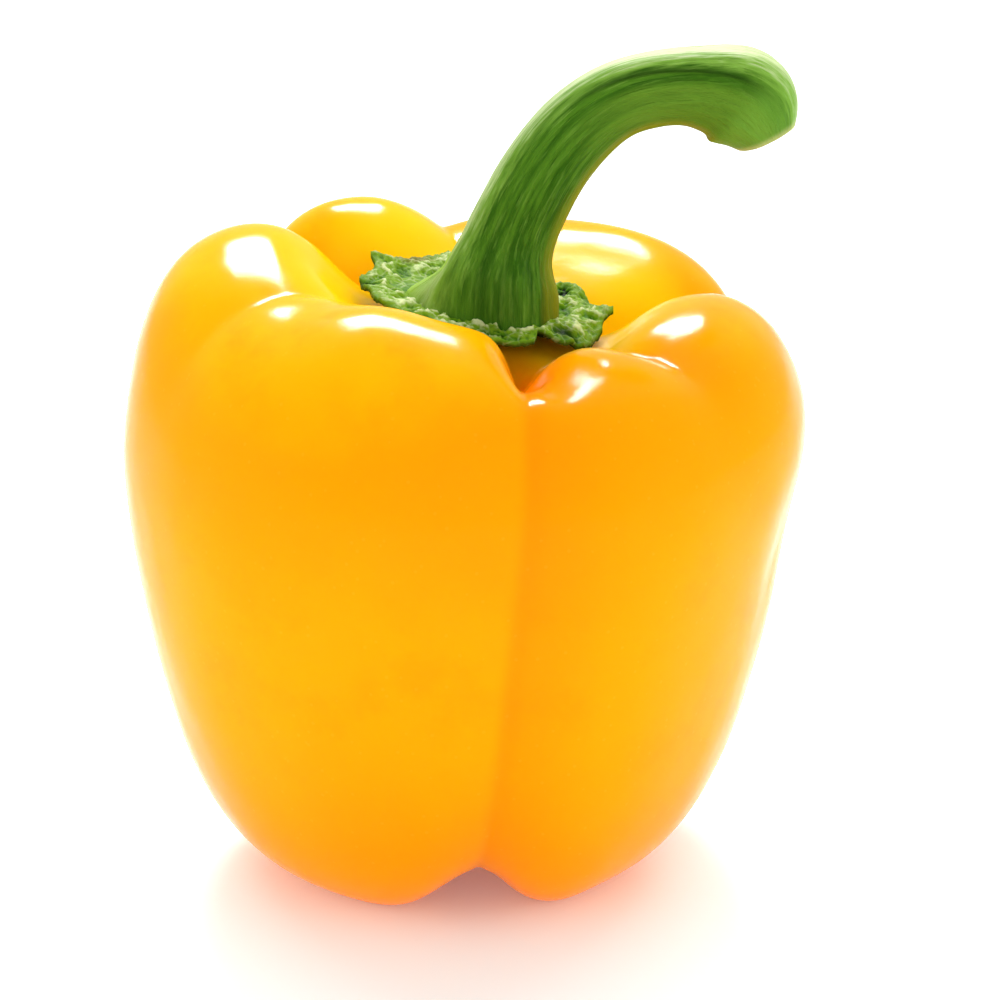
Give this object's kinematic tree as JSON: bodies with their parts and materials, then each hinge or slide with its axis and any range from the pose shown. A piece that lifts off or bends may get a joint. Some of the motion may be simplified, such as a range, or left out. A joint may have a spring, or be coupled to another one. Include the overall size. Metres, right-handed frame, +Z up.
{
  "type": "bell pepper",
  "caption": "Ripe yellow bell pepper, as picked: a blocky glossy fruit with furrowed shoulders, standing on its blossom end, with its green calyx and a stout hooked stem.",
  "frame": {"origin": "on the surface the pepper stands on, below the middle of its bounding box", "axes": "+Z up along the pepper's height; -Y towards the picture's viewer; +X to the viewer's right, where the stem hooks over"},
  "size_m": [0.0872, 0.0882, 0.1075],
  "materials": {
    "skin": "smooth waxy skin, glossy, ripe yellow with a deeper orange in the furrows and at the base",
    "calyx": "leathery, crinkled, pale whitish green over dark green hollows",
    "stem": "fleshy green stalk with fine lengthwise ribs, paler along the top and at the cut end"
  },
  "bodies": {
    "root": {"fruit": "skin", "calyx": "calyx", "stem": "stem"}
  },
  "joints": []
}
